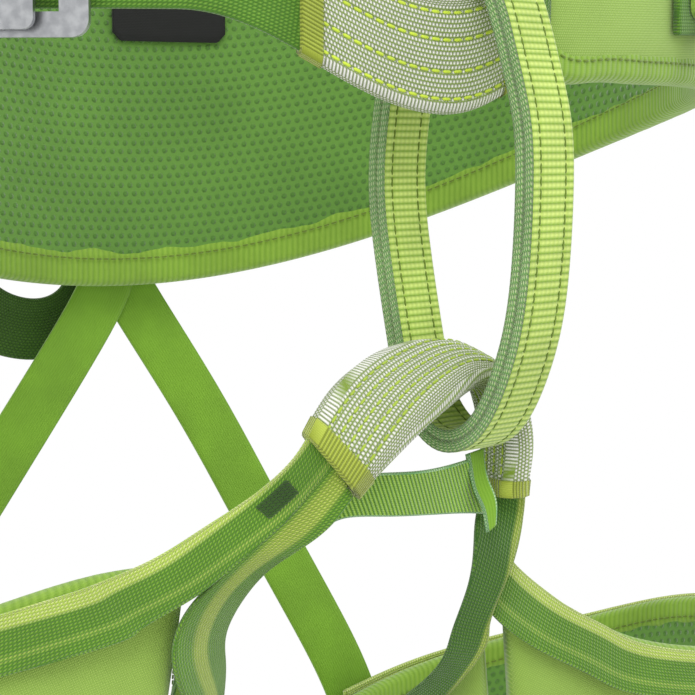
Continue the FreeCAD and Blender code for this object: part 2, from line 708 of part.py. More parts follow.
for label, ends in GEAR_LOOPS.items():
    one, two, outside = gear_loop(label, ends)
    print("hinge", label, [round(value, 2) for value in one], [round(value, 2) for value in two],
          [round(value, 3) for value in outside])
    for number, angle in enumerate(ends, start=1):
        height = gear_height(label, angle) + 1.2 + size("tab_high") / 2.0
        plate("%s_tab_%d" % (label, number), belt_place(angle, TAB_OFFSET, height), "tab_wide",
              "tab_high", "tab_thick", "tab_corner")

# ---------------------------------------------------------------- strap tail and keeper

TAIL_START = BUCKLE_ANGLE + 2.0
TAIL_END = -105.5
TAIL_HALF = 11.5
KEEPER_ANGLES = (-123.6, -118.6)
KEEPER_WALL = 1.0
tail_near = 1.4
tail_rails = webbing_rails(TAIL_START, TAIL_END, 16, TAIL_HALF)
ribbon("strap_tail", tail_rails, tail_near, tail_near + webbing_thick, span=(0.3, 1.0))
keeper_rails = webbing_rails(KEEPER_ANGLES[0], KEEPER_ANGLES[1], 6, webbing_half + 2.6)
keeper_depth = (-half_thick - 0.4 - KEEPER_WALL, tail_near + webbing_thick + 0.4 + KEEPER_WALL)
keepers = tube_ribbon(keeper_rails, keeper_depth, KEEPER_WALL, 1.4, [(0.02, 0.98)], stations=6)
feature("strap_keeper", keepers[0])

# ---------------------------------------------------------------- check and write

doc.recompute()
for item in doc.Objects:
    if "Invalid" in item.State or "Error" in item.State:
        raise RuntimeError("%s is %s" % (item.Label, item.State))
for piece in kept:
    if piece.Shape.isNull() or not piece.Shape.isValid():
        raise RuntimeError(piece.Label + " has no valid shape")
for piece in kept:
    piece.Shape.exportStep("parts/%s.step" % piece.Label)
    print("%-28s %9.0f mm3 %d" % (piece.Label, piece.Shape.Volume, len(piece.Shape.Solids)))
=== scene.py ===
"""Looks of a sport climbing harness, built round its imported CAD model.

Lengths are millimetres until mesh_object turns them into metres. The wearer faces -Y. A soft
piece is swept along a strip, which is the surface between two rails: high and low edge curves.
"""
import math
import bpy
import numpy as np
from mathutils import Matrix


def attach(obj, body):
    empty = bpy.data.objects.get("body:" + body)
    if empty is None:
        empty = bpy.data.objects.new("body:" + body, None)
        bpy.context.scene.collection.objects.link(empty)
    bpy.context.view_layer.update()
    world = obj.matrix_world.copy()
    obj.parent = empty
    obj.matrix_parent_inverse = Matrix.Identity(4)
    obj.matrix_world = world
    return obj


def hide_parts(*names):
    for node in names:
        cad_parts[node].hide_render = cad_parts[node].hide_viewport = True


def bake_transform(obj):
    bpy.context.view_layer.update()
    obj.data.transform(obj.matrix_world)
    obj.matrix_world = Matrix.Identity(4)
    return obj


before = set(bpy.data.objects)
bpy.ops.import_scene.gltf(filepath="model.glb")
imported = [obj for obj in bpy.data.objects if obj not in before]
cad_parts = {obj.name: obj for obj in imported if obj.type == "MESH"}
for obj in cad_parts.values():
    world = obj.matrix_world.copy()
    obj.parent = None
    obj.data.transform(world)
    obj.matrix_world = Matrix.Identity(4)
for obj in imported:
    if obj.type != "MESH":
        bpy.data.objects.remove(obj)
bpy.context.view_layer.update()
MM = 0.001


# ---------------------------------------------------------------- camera

def make_camera():
    """Place the camera in front of the wearer's right hip, looking at the belay loop."""
    azimuth = math.radians(-30.0)
    elevation = math.radians(6.0)
    target = np.array([-33.0, -104.0, -94.0])
    away = np.array([math.sin(azimuth) * math.cos(elevation),
                     -math.cos(azimuth) * math.cos(elevation), math.sin(elevation)])
    data = bpy.data.cameras.new("camera")
    data.sensor_width = 36.0
    data.lens = 102.56
    data.clip_start = 0.01
    camera = bpy.data.objects.new("camera", data)
    camera.location = (target + away * 450.0) * MM
    camera.rotation_euler = (math.pi / 2.0 - elevation, 0.0, azimuth)
    bpy.context.scene.collection.objects.link(camera)
    bpy.context.scene.camera = camera


make_camera()


# ---------------------------------------------------------------- curves and strips

def spline(rows):
    """Return a smooth curve through the rows, with an equal parameter step for each."""
    rows = np.asarray(rows, float)
    last = len(rows) - 1
    matrix = np.eye(last + 1)
    right = np.zeros_like(rows)
    for index in range(1, last):
        matrix[index, index - 1:index + 2] = (1.0, 4.0, 1.0)
        right[index] = 6.0 * (rows[index + 1] - 2.0 * rows[index] + rows[index - 1])
    bend = np.linalg.solve(matrix, right)

    def at(where):
        """Return the curve's points at parameters from 0 to 1."""
        place = np.clip(np.asarray(where, float), 0.0, 1.0) * last
        index = np.minimum(place.astype(int), last - 1)
        far = (place - index)[:, None]
        near = 1.0 - far
        straight = rows[index] * near + rows[index + 1] * far
        curved = (near ** 3 - near) * bend[index] + (far ** 3 - far) * bend[index + 1]
        return straight + curved / 6.0
    return at


def unit(vectors):
    """Return the vectors at length 1."""
    return vectors / np.linalg.norm(vectors, axis=-1, keepdims=True)


class Strip:
    """Frames along the middle of two rails: centre, across, outward, width and distance run."""

    def __init__(self, high, low, step=2.0, span=(0.0, 1.0), sign=1.0, closed=False):
        fine = np.linspace(span[0], span[1], 600)
        middle = (high(fine) + low(fine)) / 2.0
        run = np.concatenate([[0.0], np.cumsum(np.linalg.norm(np.diff(middle, axis=0), axis=1))])
        count = max(3, int(round(run[-1] / step)) + 1)
        where = np.interp(np.linspace(0.0, run[-1], count), run, fine)
        if closed:
            where = where[:-1]
        upper = high(where)
        lower = low(where)
        self.closed = closed
        self.where = where
        self.centre = (upper + lower) / 2.0
        self.width = np.linalg.norm(upper - lower, axis=1)
        self.across = unit(upper - lower)
        if closed:
            along = np.roll(self.centre, -1, axis=0) - np.roll(self.centre, 1, axis=0)
        else:
            along = np.gradient(self.centre, axis=0)
        self.outward = unit(np.cross(self.across, along)) * sign
        self.run = np.linspace(0.0, run[-1], count)[:len(where)]
        self.length = run[-1]

    def point(self, run, side, out):
        """Return points at a distance run, a sideways distance and an outward distance."""
        result = []
        for axis in range(3):
            centre = np.interp(run, self.run, self.centre[:, axis])
            across = np.interp(run, self.run, self.across[:, axis])
            outward = np.interp(run, self.run, self.outward[:, axis])
            result.append(centre + across * side + outward * out)
        return np.stack(result, axis=-1)


def mesh_object(name, vertices, faces, uv=None, indices=None, materials=()):
    """Make an object from millimetre vertices and quads or polygons."""
    mesh = bpy.data.meshes.new(name)
    mesh.from_pydata((np.asarray(vertices) * MM).tolist(), [], faces)
    if uv is not None:
        layer = mesh.uv_layers.new(name="weave")
        layer.data.foreach_set("uv", np.asarray(uv, np.float32).ravel())
    for material in materials:
        mesh.materials.append(material)
    if indices is not None:
        mesh.polygons.foreach_set("material_index", np.asarray(indices, np.int32))
    mesh.polygons.foreach_set("use_smooth", [True] * len(mesh.polygons))
    mesh.update()
    made = bpy.data.objects.new(name, mesh)
    bpy.context.scene.collection.objects.link(made)
    return made


FACE, EDGE, BACK = 0, 1, 2


def tape_section(columns, edge_steps=3):
    """Return a tape's section: side share, rounding share, depth share and kind of each point."""
    rows = []
    for index in range(columns + 1):
        rows.append((-1.0 + 2.0 * index / columns, 0.0, 1.0, FACE))
    for index in range(1, edge_steps + 1):
        turn = math.pi * index / (edge_steps + 1)
        rows.append((1.0, math.sin(turn), math.cos(turn), EDGE))
    for index in range(columns + 1):
        rows.append((1.0 - 2.0 * index / columns, 0.0, -1.0, BACK))
    for index in range(1, edge_steps + 1):
        turn = math.pi * index / (edge_steps + 1)
        rows.append((-1.0, -math.sin(turn), -math.cos(turn), EDGE))
    return np.array(rows)


def face_height(strip, thick, crown, side):
    """Return how far a crowned tape's face stands out at a sideways distance."""
    return thick / 2.0 + crown * (1.0 - (2.0 * side / float(np.mean(strip.width))) ** 2)


def tape(name, strip, thick, materials, columns=12, relief=None, offset=0.0, crown=0.0,
         inset=(0.0, 0.0), bulge=0.5):
    """Sweep a flat tape with rounded edges along a strip; relief lifts its two faces."""
    section = tape_section(columns)
    share, rounding, depth, kind = section.T
    half_thick = thick / 2.0
    half = strip.width[:, None] / 2.0
    shift = (inset[1] - inset[0]) / 2.0
    half = half - (inset[0] + inset[1]) / 2.0
    flat = half - half_thick * bulge
    side = share[None, :] * flat + rounding[None, :] * half_thick * bulge
    out = np.repeat(depth[None, :] * half_thick, len(half), axis=0)
    swell = crown * (1.0 - (side / half) ** 2)
    out = out + np.where(kind == FACE, swell, np.where(kind == BACK, -swell, 0.0))
    run = np.repeat(strip.run[:, None], len(share), axis=1)
    if relief is not None:
        lift = relief(run, side, half)
        out = out + np.where(kind == FACE, lift, 0.0) - np.where(kind == BACK, lift, 0.0)
    weave_side = side + np.where(kind == EDGE, out, 0.0)
    side = side + shift
    out = out + offset
    places = (strip.centre[:, None, :] + strip.across[:, None, :] * side[:, :, None]
              + strip.outward[:, None, :] * out[:, :, None])
    return lofted(name, places, run, weave_side, kind, materials, strip)


def lofted(name, places, run, side, kind, materials, strip):
    """Join rows of section points into a mesh with a run and side coordinate at each corner."""
    rows, columns = places.shape[:2]
    faces = []
    corners = []
    indices = []
    last_row = rows if strip.closed else rows - 1
    for row in range(last_row):
        below = (row + 1) % rows
        far_run = strip.length if below == 0 else None
        for column in range(columns):
            beside = (column + 1) % columns
            faces.append((row * columns + column, below * columns + column,
                          below * columns + beside, row * columns + beside))
            end = run[below, column] if far_run is None else far_run
            corners += [(run[row, column], side[row, column]), (end, side[below, column]),
                        (end, side[below, beside]), (run[row, column], side[row, beside])]
            both_face = kind[column] == kind[beside]
            indices.append(int(kind[column]) if both_face else EDGE)
    if not strip.closed:
        faces.append(tuple(range(columns)))
        faces.append(tuple((rows - 1) * columns + column for column in reversed(range(columns))))
        corners += [(run[0, column], side[0, column]) for column in range(columns)]
        corners += [(run[-1, column], side[-1, column]) for column in reversed(range(columns))]
        indices += [EDGE, EDGE]
    count = len(materials)
    indices = [min(index, count - 1) for index in indices]
    return mesh_object(name, places.reshape(-1, 3), faces, corners, indices, materials)


def stitches(name, strip, side, out, material, pitch=3.0, length=2.0, radius=0.32, span=None,
             lean=0.0):
    """Lay a row of short raised stitches along a strip at a sideways distance."""
    start, end = span if span else (pitch, strip.length - pitch)
    sides = side if isinstance(side, (list, tuple)) else [side]
    vertices = []
    faces = []
    ring_turns = np.arange(6) * math.pi / 3.0
    profile = [(-0.5, 0.35), (-0.3, 1.0), (0.3, 1.0), (0.5, 0.35)]
    for line in sides:
        runs = np.arange(start, end, pitch)
        middle = strip.point(runs, line, out)
        ahead = strip.point(runs + 0.4, line, out)
        along = unit(ahead - middle)
        away = unit(strip.point(runs, line, out + 1.0) - middle)
        beside = np.cross(along, away)
        if lean:
            along = unit(along + beside * lean)
            beside = np.cross(along, away)
        for place, forward, up, aside in zip(middle, along, away, beside):
            base = len(vertices)
            for share, size in profile:
                for turn in ring_turns:
                    spoke = aside * math.cos(turn) + up * math.sin(turn) * 0.8
                    vertices.append(place + forward * share * length + spoke * radius * size)
            for ring in range(len(profile) - 1):
                for corner in range(6):
                    first = base + ring * 6 + corner
                    second = base + ring * 6 + (corner + 1) % 6
                    faces.append((first, second, second + 6, first + 6))
            faces.append(tuple(base + corner for corner in reversed(range(6))))
            faces.append(tuple(base + 18 + corner for corner in range(6)))
    return mesh_object(name, vertices, faces, materials=(material,))


# ---------------------------------------------------------------- materials

def linear(red, green, blue):
    """Turn an 8-bit display colour into a linear one."""
    return tuple(((value / 255.0 + 0.055) / 1.055) ** 2.4 if value > 10 else value / 3294.6
                 for value in (red, green, blue)) + (1.0,)


class Shade:
    """A principled material with helpers for patterns in millimetres of cloth."""

    def __init__(self, name, rough=0.7, sheen=0.3, metallic=0.0, specular=0.3):
        self.material = bpy.data.materials.new(name)
        self.material.use_nodes = True
        self.nodes = self.material.node_tree.nodes
        self.links = self.material.node_tree.links
        self.shader = self.nodes["Principled BSDF"]
        self.shader.inputs["Roughness"].default_value = rough
        self.shader.inputs["Sheen Weight"].default_value = sheen
        self.shader.inputs["Sheen Roughness"].default_value = 0.5
        self.shader.inputs["Metallic"].default_value = metallic
        self.shader.inputs["Specular IOR Level"].default_value = specular
        place = self.nodes.new("ShaderNodeUVMap")
        place.uv_map = "weave"
        parts = self.nodes.new("ShaderNodeSeparateXYZ")
        self.links.new(place.outputs["UV"], parts.inputs[0])
        self.run = parts.outputs["X"]
        self.side = parts.outputs["Y"]

    def maths(self, kind, first, second=0.0, third=0.0):
        """Add a Math node and return its output."""
        node = self.nodes.new("ShaderNodeMath")
        node.operation = kind
        for socket, value in zip(node.inputs, (first, second, third)):
            if isinstance(value, (int, float)):
                socket.default_value = value
            else:
                self.links.new(value, socket)
        return node.outputs[0]

    def wave(self, value, pitch, phase=0.0):
        """Return a smooth 0 to 1 wave of the pitch, 1 at the middle of each yarn."""
        turned = self.maths("MULTIPLY_ADD", value, 2.0 * math.pi / pitch, phase)
        return self.maths("MULTIPLY_ADD", self.maths("COSINE", turned), 0.5, 0.5)

    def noise(self, scale, detail):
        """Return object-space noise from 0 to 1; the scale is in features per metre."""
        place = self.nodes.new("ShaderNodeTexCoord")
        node = self.nodes.new("ShaderNodeTexNoise")
        node.inputs["Scale"].default_value = scale
        node.inputs["Detail"].default_value = detail
        self.links.new(place.outputs["Object"], node.inputs["Vector"])
        return node.outputs["Fac"]

    def ramp(self, value, stops):
        """Return colours along a value; stops are (position, colour)."""
        node = self.nodes.new("ShaderNodeValToRGB")
        node.color_ramp.interpolation = "EASE"
        elements = node.color_ramp.elements
        while len(elements) > 1:
            elements.remove(elements[-1])
        elements[0].position = stops[0][0]
        elements[0].color = stops[0][1]
        for position, colour in stops[1:]:
            elements.new(position).color = colour
        self.links.new(value, node.inputs[0])
        return node.outputs[0]

    def mix(self, share, first, second, kind="MIX"):
        """Mix two colours by a share."""
        node = self.nodes.new("ShaderNodeMix")
        node.data_type = "RGBA"
        node.blend_type = kind
        for socket, value in ((node.inputs[0], share), (node.inputs[6], first),
                              (node.inputs[7], second)):
            if isinstance(value, (int, float, tuple)):
                socket.default_value = value
            else:
                self.links.new(value, socket)
        return node.outputs[2]

    def mottled(self, colour, scale, detail, dull, span=(0.3, 0.7)):
        """Darken a colour in soft patches, down to the dull tone."""
        tone = self.ramp(self.noise(scale, detail), [(span[0], dull), (span[1], (1.0,) * 4)])
        return self.mix(1.0, colour, tone, "MULTIPLY")

    def paint(self, colour, height, depth, roughness=None):
        """Join the colour, and a height whose full rise is depth millimetres."""
        self.links.new(colour, self.shader.inputs["Base Color"])
        bump = self.nodes.new("ShaderNodeBump")
        bump.inputs["Distance"].default_value = depth * MM
        bump.inputs["Strength"].default_value = 1.0
        self.links.new(height, bump.inputs["Height"])
        self.links.new(bump.outputs[0], self.shader.inputs["Normal"])
        if roughness is not None:
            self.links.new(roughness, self.shader.inputs["Roughness"])
        return self.material


def woven(name, light, dark, run_pitch, side_pitch, depth=0.3, lean=0.0, stripes=None,
          contrast=1.0, rough=0.75, sheen=0.3, mottle=0.18):
    """A weave of small yarns: light tops, dark gaps. The dark gap tone is painted shade between
    the yarns, and on two-colour cloth such as the sleeve it is also the cloth's own second
    colour. Lean turns its rows into diagonals.
    """
    shade = Shade(name, rough, sheen)
    leaned = shade.maths("MULTIPLY_ADD", shade.side, lean, shade.run)
    row = shade.maths("FLOOR", shade.maths("DIVIDE", shade.side, side_pitch))
    shifted = shade.maths("MULTIPLY_ADD", row, run_pitch * 0.5, leaned)
    along = shade.wave(shifted, run_pitch)
    beside = shade.wave(shade.side, side_pitch, math.pi)
    yarn = shade.maths("POWER", shade.maths("MULTIPLY", along, beside), 0.6)
    share = shade.maths("MINIMUM", shade.maths("MULTIPLY", yarn, contrast), 1.0)
    top = light
    gap = dark
    if stripes:
        position = shade.maths("MULTIPLY_ADD", shade.side, 1.0 / stripes[0], 0.5)
        top = shade.ramp(position, [(at, pair[0]) for at, pair in stripes[1]])
        gap = shade.ramp(position, [(at, pair[1]) for at, pair in stripes[1]])
    # The gap tone mixed in here is painted shade between the yarns.
    colour = shade.mix(share, gap, top)
    colour = shade.mottled(colour, 70.0, 4.0, (1.0 - mottle,) * 3 + (1.0,))
    fuzz = shade.noise(2500.0, 2.0)
    height = shade.maths("MULTIPLY_ADD", fuzz, 0.25, yarn)
    return shade.paint(colour, height, depth)


def ribbed(name, light, dark, pitch, depth=0.25, along=False, yarn_pitch=0.45, sharp=0.7,
           lean=0.0):
    """Parallel ribs across the tape, or along it, crossed by fine yarns; the dark tone in the
    grooves and between the yarns is painted shade.
    """
    shade = Shade(name)
    first = shade.side if along else shade.run
    second = shade.run if along else shade.side
    first = shade.maths("MULTIPLY_ADD", second, lean, first)
    rib = shade.maths("POWER", shade.wave(first, pitch), sharp)
    yarn = shade.wave(second, yarn_pitch)
    height = shade.maths("MULTIPLY_ADD", yarn, 0.18, rib)
    share = shade.maths("MULTIPLY", rib, shade.maths("MULTIPLY_ADD", yarn, 0.25, 0.75))
    # The dark colour in the grooves is painted shade between the ribs and yarns.
    colour = shade.mix(share, dark, light)
    colour = shade.mottled(colour, 60.0, 4.0, (0.85, 0.85, 0.85, 1.0))
    return shade.paint(colour, height, depth)


def perforated(name, light, dark, pitch, hole):
    """Stretch knit with a hexagonal grid of small holes."""
    shade = Shade(name, 0.85, 0.4)
    far = pitch * math.sqrt(3.0)
    found = []
    for shift in (0.0, 0.5):
        offsets = []
        for value, step in ((shade.run, pitch), (shade.side, far)):
            cell = shade.maths("MULTIPLY_ADD", value, 1.0 / step, shift)
            inside = shade.maths("SUBTRACT", shade.maths("FRACT", cell), 0.5)
            offsets.append(shade.maths("MULTIPLY", inside, step))
        squares = [shade.maths("MULTIPLY", value, value) for value in offsets]
        found.append(shade.maths("SQRT", shade.maths("ADD", *squares)))
    nearest = shade.maths("MINIMUM", *found)
    node = shade.nodes.new("ShaderNodeMapRange")
    node.interpolation_type = "SMOOTHSTEP"
    node.inputs["From Min"].default_value = hole * 0.45
    node.inputs["From Max"].default_value = hole * 1.35
    shade.links.new(nearest, node.inputs["Value"])
    solid = node.outputs[0]
    knit = shade.maths("MULTIPLY", shade.wave(shade.run, 0.5), shade.wave(shade.side, 0.7))
    colour = shade.mix(solid, dark, light)
    colour = shade.mottled(colour, 30.0, 3.0, (0.82, 0.84, 0.82, 1.0), (0.25, 0.75))
    height = shade.maths("MULTIPLY_ADD", knit, 0.06, solid)
    return shade.paint(colour, height, 0.45)


BELAY_RIB = 1.6
LIME = linear(168, 200, 62)
PALE = linear(222, 234, 150)
GREEN = linear(92, 146, 30)
CREAM = linear(240, 240, 232)

lining_mat = perforated("mesh_lining", linear(100, 146, 58), linear(84, 130, 50), 3.1, 0.8)
binding_mat = ribbed("binding_tape", linear(142, 180, 60), linear(124, 164, 46), 1.9, 0.2)
shell_mat = woven("shell_fabric", linear(160, 190, 86), linear(132, 168, 64), 0.6, 0.6, 0.1,
                  mottle=0.06)
# Belay loop webbing: the pale rib-top colour is partly painted highlight, the lit lime of its
# ribs. The green in the grooves is painted shade.
belay_highlit_mat = ribbed("belay_webbing", linear(206, 226, 118), linear(132, 172, 44), BELAY_RIB, 0.3,
                   yarn_pitch=1.5, sharp=0.55)
belay_edge_mat = woven("belay_edge", linear(206, 230, 160), linear(92, 156, 62), 1.3, 0.6, 0.5,
                       lean=0.8)
sleeve_mat = woven("sleeve_weave", CREAM, linear(118, 146, 30), 0.9, 1.05, 0.45, contrast=1.3,
                   mottle=0.05)
end_mat = ribbed("end_binding", linear(180, 196, 74), linear(126, 142, 20), 0.95, 0.3,
                 along=True)
stitch_mat = ribbed("stitch_thread", linear(200, 224, 66), linear(160, 192, 40), 0.5, 0.05)
seam_mat = ribbed("seam_thread", linear(104, 130, 28), linear(78, 104, 16), 0.5, 0.05)
bridge_thread_mat = ribbed("bridge_thread", linear(164, 190, 60), linear(136, 164, 40), 0.5, 0.05)
riser_mat = ribbed("elastic_strap", linear(126, 172, 44), linear(114, 162, 34), 0.8, 0.06,
                   along=True)
# Dark green webbing. On the haul loop this darkness is painted shade: a darker copy of the strap
# green stands for its shadowed side behind the belt.
dark_web_mat = woven("dark_webbing", linear(72, 112, 22), linear(44, 80, 12), 1.2, 0.9, 0.2)
web_mat = woven("green_webbing", linear(118, 166, 52), linear(66, 118, 20), 1.1, 0.85, 0.25,
                lean=0.8)
cross_mat = ribbed("cross_twill", linear(168, 212, 78), linear(70, 132, 10), 1.15, 0.35,
                   lean=0.5)
selvage_mat = woven("selvage", linear(190, 222, 168), linear(112, 172, 104), 0.8, 0.6, 0.25)
TWILL = linear(130, 178, 46), linear(70, 124, 8)
BAND_STRIPES = [(0.0, (PALE, LIME)), (0.16, (PALE, LIME)), (0.26, TWILL), (0.62, TWILL),
                (0.74, (linear(176, 202, 84), GREEN)), (0.84, TWILL), (1.0, TWILL)]
DROP_STRIPES = {
    "right": [(0.0, TWILL), (0.32, TWILL),
              (0.44, (linear(202, 220, 104), linear(136, 168, 44))),
              (0.66, (linear(196, 214, 98), linear(132, 164, 40))), (0.84, TWILL), (1.0, TWILL)],
    "left": [(0.0, (linear(96, 146, 36), linear(46, 96, 12))),
             (0.78, (linear(100, 150, 38), linear(50, 100, 14))),
             (0.86, (linear(190, 208, 96), linear(130, 160, 44))),
             (1.0, (linear(190, 208, 96), linear(130, 160, 44)))]}
label_mat = woven("label_patch", linear(26, 27, 26), linear(12, 12, 12), 0.5, 0.5, 0.05,
                  rough=0.5, sheen=0.1)


# ---------------------------------------------------------------- belt geometry, as in the CAD

WAIST_WIDE = 136.0
WAIST_DEEP = 98.0
PAD_START = -115.0
PAD_END = 174.0
START_TAPER = 22.0
END_TAPER = 7.0
FRONT_HEIGHT = -6.0
DIP = -22.0
DIP_ANGLE = 183.0
DIP_REACH_LEFT = 21.0
DIP_REACH_RIGHT = 26.0
WEBBING_START = -134.5
WEBBING_END = 150.0
WEBBING_OFFSET = 6.9
WEBBING_HALF = 12.5
STRAP_START = 171.0
STRAP_END = 222.5
SLEEVE_SPAN = (175.6, 197.0)
SLEEVE_HALF = 13.25
END_SPANS = ((175.0, 177.0), (195.6, 197.6))
END_HALF = 13.7
LABEL_SPAN = (-2.4, 14.3)
LABEL_TOP = 6.5
LABEL_BOTTOM = -16.0


def belt_points(angles, offset, heights):
    """Return points beside the belt's mid-surface; angles run from the back to the left."""
    turn = np.radians(angles)
    return np.stack([(WAIST_WIDE + offset) * np.sin(turn), (WAIST_DEEP + offset) * np.cos(turn),
                     np.broadcast_to(heights, turn.shape)], axis=-1)


def pad_edges(angles):
    """Return the padding's upper and lower heights at angles, narrowed near its two ends."""
    share = (1.0 - np.cos(np.radians(angles))) / 2.0
    low = -94.0 + 61.0 * (1.0 - (1.0 - share) ** 2.6)
    high = 14.0 + 12.0 * np.sin(np.radians(angles)) ** 2
    reach = np.minimum((angles - PAD_START) / START_TAPER, (PAD_END - angles) / END_TAPER)
    reach = np.minimum(reach, 1.0)
    open_share = 0.62 + 0.38 * np.sin(reach * math.pi / 2.0)
    middle = (high + low) / 2.0
    half = (high - low) / 2.0 * open_share
    return middle + half, middle - half


def webbing_height(angles):
    """Return the height of the waist webbing's middle; it dips in a smile at the tie-in."""
    high, low = pad_edges(np.clip(angles, PAD_START, WEBBING_END))
    aside = np.mod(angles, 360.0) - DIP_ANGLE
    reach = np.where(aside > 0.0, DIP_REACH_RIGHT, DIP_REACH_LEFT)
    share = np.minimum(np.abs(aside) / reach, 1.0)
    free = FRONT_HEIGHT + DIP * np.cos(share * math.pi / 2.0) ** 2
    on_pad = (angles >= PAD_START) & (angles <= WEBBING_END)
    return np.where(on_pad, (high + low) / 2.0, free)


def belt_rails(start, end, offset, half=None, count=48):
    """Return rails on the belt: the pad's own edges, or a webbing of a half width."""
    angles = np.linspace(start, end, count)
    if half is None:
        high, low = pad_edges(angles)
    else:
        middle = webbing_height(angles)
        high, low = middle + half, middle - half
    return spline(belt_points(angles, offset, high)), spline(belt_points(angles, offset, low))


# ---------------------------------------------------------------- padded pieces

def ripple(amount, length, seed, edge_share=0.65):
    """Return a relief of soft uneven puckers that grow towards the edges."""
    local = np.random.default_rng(seed)
    phases = local.uniform(0.0, 2.0 * math.pi, 5)
    lengths = length * local.uniform(0.7, 1.6, 5)

    def relief(run, side, half):
        near = np.clip((np.abs(side) / half - edge_share) / (1.0 - edge_share), 0.0, 1.0)
        value = sum(np.sin(run * 2.0 * math.pi / size + phase)
                    for size, phase in zip(lengths, phases)) / 5.0
        return amount * near * value
    return relief


PAD_INSET = 3.0
PAD_END_TAPER = 9.0


def pad(name, strip, thick, edge_thick, inner_mat, outer_mat, columns, inner_relief,
        outer_relief):
    """Make a crowned pad: thick in its middle, pinched at its edges, outer and inner cloths."""
    shares = np.linspace(-1.0, 1.0, columns + 1)
    half = strip.width[:, None] / 2.0 - PAD_INSET
    run = strip.run[:, None]
    bow = (1.0 - np.abs(shares) ** 5.0) ** 0.6
    depth = edge_thick / 2.0 + (thick - edge_thick) / 2.0 * bow
    ends = np.minimum(strip.run, strip.length - strip.run)[:, None]
    taper = np.clip(ends / PAD_END_TAPER, 0.0, 1.0)
    taper = np.sqrt(1.0 - (1.0 - taper) ** 2) * 0.45 + 0.55
    front = half * shares[None, :]
    top = depth[None, :] * taper
    bottom = -depth[None, :] * taper
    wide = np.broadcast_to(run, front.shape)
    top = top + outer_relief(wide, front, half)
    bottom = bottom - inner_relief(wide, front, half)
    side = np.concatenate([front, front[:, ::-1]], axis=1)
    out = np.concatenate([top, bottom[:, ::-1]], axis=1)
    kind = np.array([FACE] * (columns + 1) + [BACK] * (columns + 1))
    places = (strip.centre[:, None, :] + strip.across[:, None, :] * side[:, :, None]
              + strip.outward[:, None, :] * out[:, :, None])
    runs = np.broadcast_to(run, side.shape)
    return lofted(name, places, runs, side, kind, (outer_mat, outer_mat, inner_mat), strip)


def binding(name, strip, upper, reach_in, reach_out, thick, wall, material, puckers=None):
    """Wrap a folded tape round one edge of a pad: a long lip inside, a shorter one outside."""
    turns = np.linspace(-math.pi / 2.0, math.pi / 2.0, 9)
    outer_half = thick / 2.0 + wall
    rows = [(-reach_in, -outer_half + 0.25), (-reach_in * 0.66, -outer_half - 0.25),
            (-reach_in * 0.33, -outer_half - 0.1)]
    rows += [(math.cos(turn) * outer_half * 0.62, math.sin(turn) * outer_half) for turn in turns]
    rows += [(-reach_out * 0.45, outer_half + 0.15), (-reach_out, outer_half - 0.25)]
    inner_half = thick / 2.0 - 0.1
    back = [(-reach_out, inner_half)]
    back += [(math.cos(turn) * inner_half * 0.4 - 1.0, math.sin(turn) * inner_half)
             for turn in turns[::-1]]
    back += [(-reach_in, -inner_half)]
    section = np.array(rows + back)
    direction = 1.0 if upper else -1.0
    side = direction * (strip.width[:, None] / 2.0 - outer_half * 0.62 + section[None, :, 0])
    out = np.repeat(section[None, :, 1], len(side), axis=0)
    run = np.repeat(strip.run[:, None], section.shape[0], axis=1)
    if puckers is not None:
        lip = np.array([1.0] * len(rows) + [0.0] * len(back))
        out = out + lip * puckers(run, side, strip.width[:, None] / 2.0) * np.sign(out)
    places = (strip.centre[:, None, :] + strip.across[:, None, :] * side[:, :, None]
              + strip.outward[:, None, :] * out[:, :, None])
    if not upper:
        places = places[:, ::-1]
        side = side[:, ::-1]
    kind = np.array([FACE] * section.shape[0])
    return lofted(name, places, run, side, kind, (material,), strip)


# ---------------------------------------------------------------- waist belt

def make_belt():
    """Make the padded belt with its bindings and stitching."""
    high, low = belt_rails(PAD_START, PAD_END, 0.0)
    strip = Strip(high, low, step=2.5)
    body_pad = pad("belt_pad", strip, 10.4, 5.0, lining_mat, shell_mat, columns=40,
                   inner_relief=ripple(0.5, 26.0, 3), outer_relief=ripple(0.4, 34.0, 4))
    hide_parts("belt_foam", "belt_lining", "belt_shell")
    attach(body_pad, "waist")
    for upper, node in ((True, "belt_binding_top"), (False, "belt_binding_bottom")):
        edge = binding(node + "_tape", strip, upper, 10.0, 6.5, 7.4, 0.8, binding_mat,
                       ripple(0.25, 9.0, 5 + upper, 0.0))
        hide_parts(node)
        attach(edge, "waist")
        side = 1.0 if upper else -1.0
        rows = edge_stitches(node + "_stitches", strip, side, 9.0, -5.5)
        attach(rows, "waist")
        rows = edge_stitches(node + "_outer_stitches", strip, side, 5.6, 4.9)
        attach(rows, "waist")


def edge_stitches(name, strip, side, inset, out):
    """Stitch along a pad's edge, a fixed distance in from it, where its width varies."""
    shifted = Strip.__new__(Strip)
    shifted.__dict__.update(strip.__dict__)
    shifted.centre = strip.centre + strip.across * (side * (strip.width[:, None] / 2.0 - inset))
    return stitches(name, shifted, 0.0, out, seam_mat, pitch=2.6, length=1.9, radius=0.3)


SINK = 0.45


def sunk_lines(lines, soft=0.6):
    """Return a relief that pulls a face down along stitch lines."""
    def relief(run, side, half):
        return -SINK * sum(np.exp(-((side - line) / soft) ** 2) for line in lines)
    return relief


